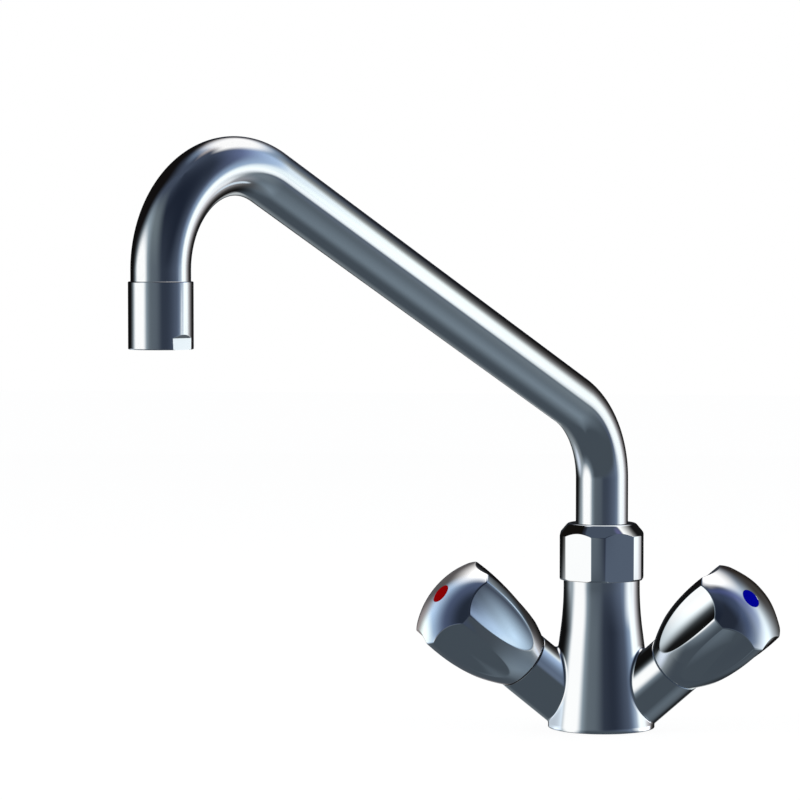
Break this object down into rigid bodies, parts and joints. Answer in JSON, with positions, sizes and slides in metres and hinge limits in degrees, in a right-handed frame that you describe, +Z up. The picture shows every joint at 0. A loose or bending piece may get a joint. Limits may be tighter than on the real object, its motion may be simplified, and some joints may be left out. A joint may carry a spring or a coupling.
{
  "type": "two handle kitchen faucet",
  "caption": "Deck kitchen faucet with hot and cold turning handles on angled necks and a tall swivelling tube spout with an aerator.",
  "frame": {"origin": "centre of the flat underside of the base, on the axis of the column", "axes": "+Z up along the column, -Y to the front, between the handles, and +X to the cold handle; the spout is swung 33.8 degrees to the left of the front at rest"},
  "size_m": [0.2299, 0.247, 0.244],
  "materials": {
    "chrome": "mirror polished chrome plate",
    "brass": "turned, bare",
    "rubber": "matte black",
    "white_plastic": "moulded, white",
    "fibre": "red brown fibre board",
    "steel": "turned stainless steel",
    "hot_red": "gloss red",
    "cold_blue": "gloss blue"
  },
  "bodies": {
    "faucet_body": {"body_casting": "chrome", "base_seal": "rubber", "union_nut": "chrome", "slide_ring": "white_plastic", "hot_headwork_housing": "brass", "hot_housing_gasket": "fibre", "cold_headwork_housing": "brass", "cold_housing_gasket": "fibre"},
    "spout": {"spout_tube": "chrome", "spout_bush": "brass", "bush_o_ring_lower": "rubber", "bush_o_ring_upper": "rubber", "aerator_housing": "chrome", "aerator_insert": "white_plastic", "aerator_gasket": "rubber"},
    "hot_knob": {"hot_handle": "chrome", "hot_handle_screw": "steel", "hot_index_button": "hot_red", "hot_spindle": "brass", "hot_spindle_o_ring": "rubber", "hot_retaining_clip": "steel"},
    "cold_knob": {"cold_handle": "chrome", "cold_handle_screw": "steel", "cold_index_button": "cold_blue", "cold_spindle": "brass", "cold_spindle_o_ring": "rubber", "cold_retaining_clip": "steel"},
    "hot_valve": {"hot_valve_carrier": "brass", "hot_valve_washer": "rubber", "hot_washer_screw": "steel"},
    "cold_valve": {"cold_valve_carrier": "brass", "cold_valve_washer": "rubber", "cold_washer_screw": "steel"}
  },
  "joints": [
    {"name": "spout_swivel", "type": "hinge", "parent": "faucet_body", "child": "spout", "pos_m": [0, 0, 0], "axis": [0, 0, 1], "continuous": true},
    {"name": "hot_turn", "type": "hinge", "parent": "faucet_body", "child": "hot_knob", "pos_m": [0, 0.0109, -0.0015], "axis": [-0.6495, -0.4481, 0.6143], "range_deg": [0, 810]},
    {"name": "hot_lift", "type": "slide", "parent": "faucet_body", "child": "hot_valve", "axis": [-0.6495, -0.4481, 0.6143], "range_m": [0, 0.0045]},
    {"name": "cold_turn", "type": "hinge", "parent": "faucet_body", "child": "cold_knob", "pos_m": [0, 0.0109, -0.0015], "axis": [0.6495, -0.4481, 0.6143], "range_deg": [0, 810]},
    {"name": "cold_lift", "type": "slide", "parent": "faucet_body", "child": "cold_valve", "axis": [0.6495, -0.4481, 0.6143], "range_m": [0, 0.0045]}
  ],
  "couplings": [
    {"joint": "hot_lift", "follows": "hot_turn", "m_per_rad": 0.0003183},
    {"joint": "cold_lift", "follows": "cold_turn", "m_per_rad": 0.0003183}
  ]
}
